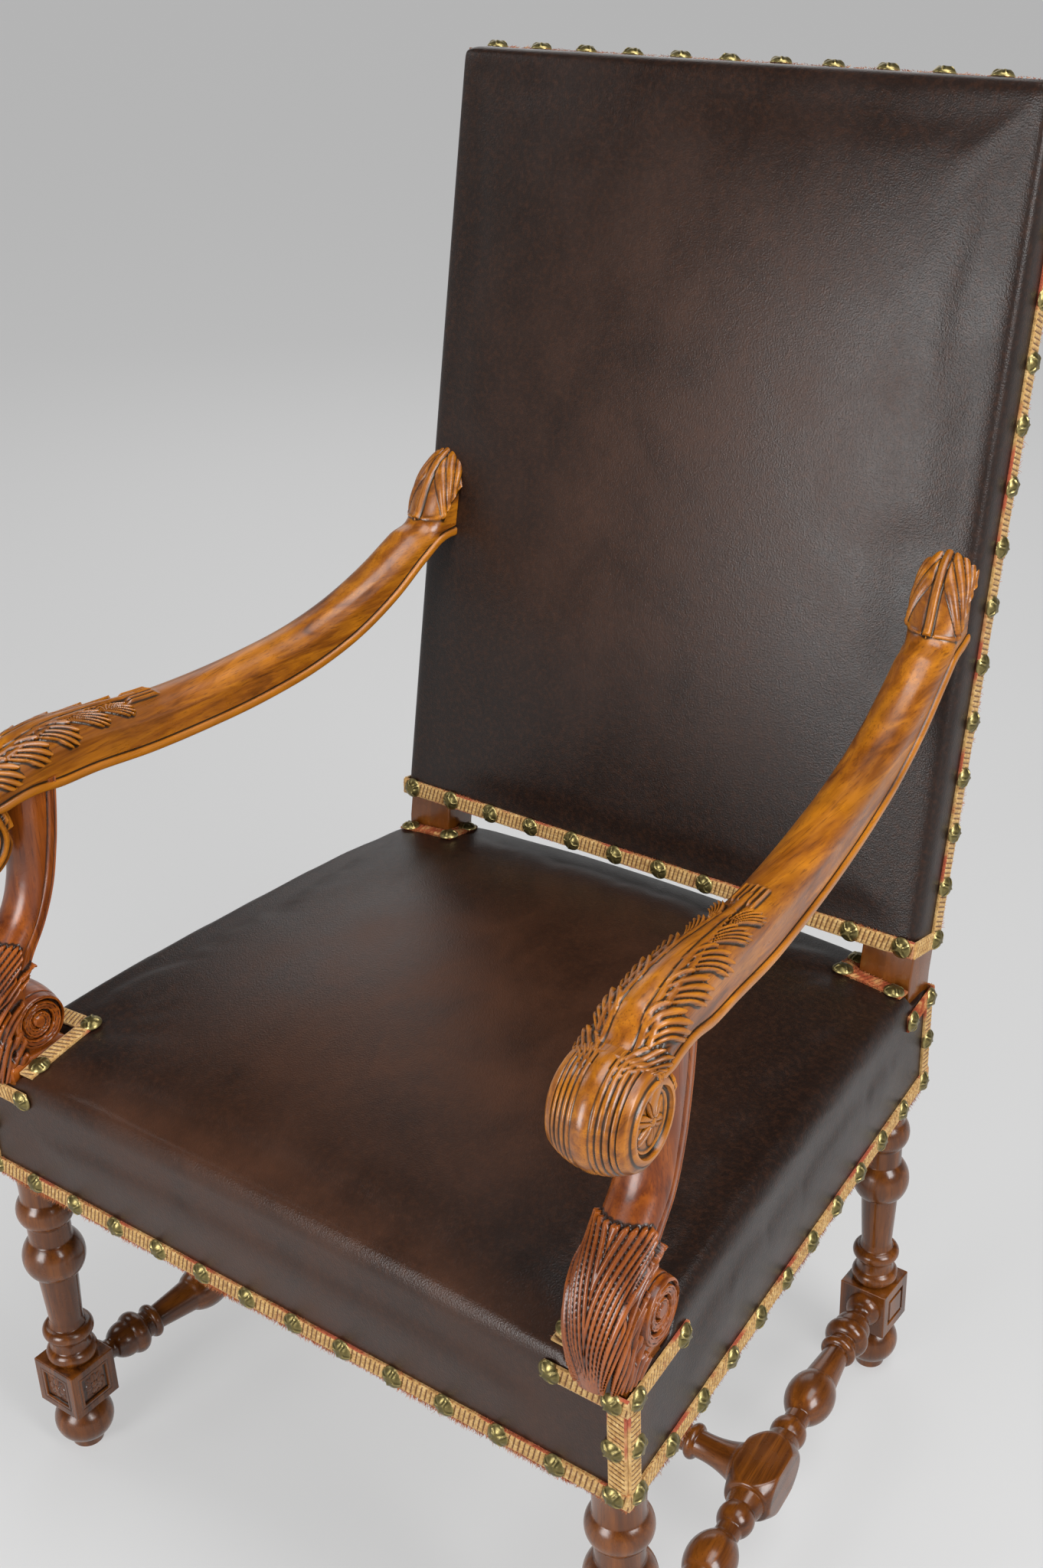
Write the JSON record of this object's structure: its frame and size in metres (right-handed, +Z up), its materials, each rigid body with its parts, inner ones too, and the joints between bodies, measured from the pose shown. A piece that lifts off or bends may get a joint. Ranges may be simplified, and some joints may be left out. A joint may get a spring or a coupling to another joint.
{
  "type": "upholstered open armchair",
  "caption": "Upholstered open armchair with a raked padded back, scrolled carved arms, turned legs and an H-shaped stretcher, covered in dark leather with braid and domed nails.",
  "frame": {"origin": "centre of the footprint, on the floor under the feet", "axes": "+X is to the right of a viewer who faces the chair, +Y runs to the back of the chair, +Z is up"},
  "size_m": [0.682, 0.718, 1.1518],
  "materials": {
    "arm_wood": "waxed and polished walnut, golden brown, carved",
    "support_wood": "waxed walnut, red brown, carved",
    "leg_wood": "waxed walnut, dark red brown, turned",
    "frame_wood": "planed hardwood, unfinished, hidden",
    "leather_cover": "very dark brown, fine grain, worn satin",
    "rear_leather": "dark brown, thin, satin",
    "braid": "ribbed tan braid with a frayed red edge",
    "brass_nails": "aged, greenish brown",
    "webbing": "jute webbing",
    "hessian": "plain woven hessian",
    "stuffing": "fibre stuffing, hidden"
  },
  "bodies": {
    "root": {"arm_base_gimp_left": "braid", "arm_base_gimp_right": "braid", "arm_left": "arm_wood", "arm_right": "arm_wood", "arm_support_left": "support_wood", "arm_support_right": "support_wood", "back_gimp_front": "braid", "back_gimp_left": "braid", "back_gimp_rear": "braid", "back_gimp_right": "braid", "back_gimp_top": "braid", "back_hessian": "hessian", "back_leather": "leather_cover", "back_nails_front": "brass_nails", "back_nails_left": "brass_nails", "back_nails_rear": "brass_nails", "back_nails_right": "brass_nails", "back_nails_top": "brass_nails", "back_rail_bottom": "frame_wood", "back_rail_top": "frame_wood", "back_rear_cover": "rear_leather", "back_stuffing": "stuffing", "back_webbing": "webbing", "corner_nails_left": "brass_nails", "corner_nails_right": "brass_nails", "cross_stretcher": "leg_wood", "front_corner_gimp_left": "braid", "front_corner_gimp_right": "braid", "front_leg_left": "leg_wood", "front_leg_right": "leg_wood", "post_base_gimp_left": "braid", "post_base_gimp_right": "braid", "post_nails_left": "brass_nails", "post_nails_right": "brass_nails", "rear_corner_gimp_left": "braid", "rear_corner_gimp_right": "braid", "rear_leg_left": "leg_wood", "rear_leg_right": "leg_wood", "seat_dust_cover": "hessian", "seat_gimp_front": "braid", "seat_gimp_left": "braid", "seat_gimp_rear": "braid", "seat_gimp_right": "braid", "seat_hessian": "hessian", "seat_leather": "leather_cover", "seat_nails_front": "brass_nails", "seat_nails_left": "brass_nails", "seat_nails_rear": "brass_nails", "seat_nails_right": "brass_nails", "seat_rail_front": "frame_wood", "seat_rail_left": "frame_wood", "seat_rail_rear": "frame_wood", "seat_rail_right": "frame_wood", "seat_stuffing": "stuffing", "seat_webbing": "webbing", "side_stretcher_left": "leg_wood", "side_stretcher_right": "leg_wood"}
  },
  "joints": []
}
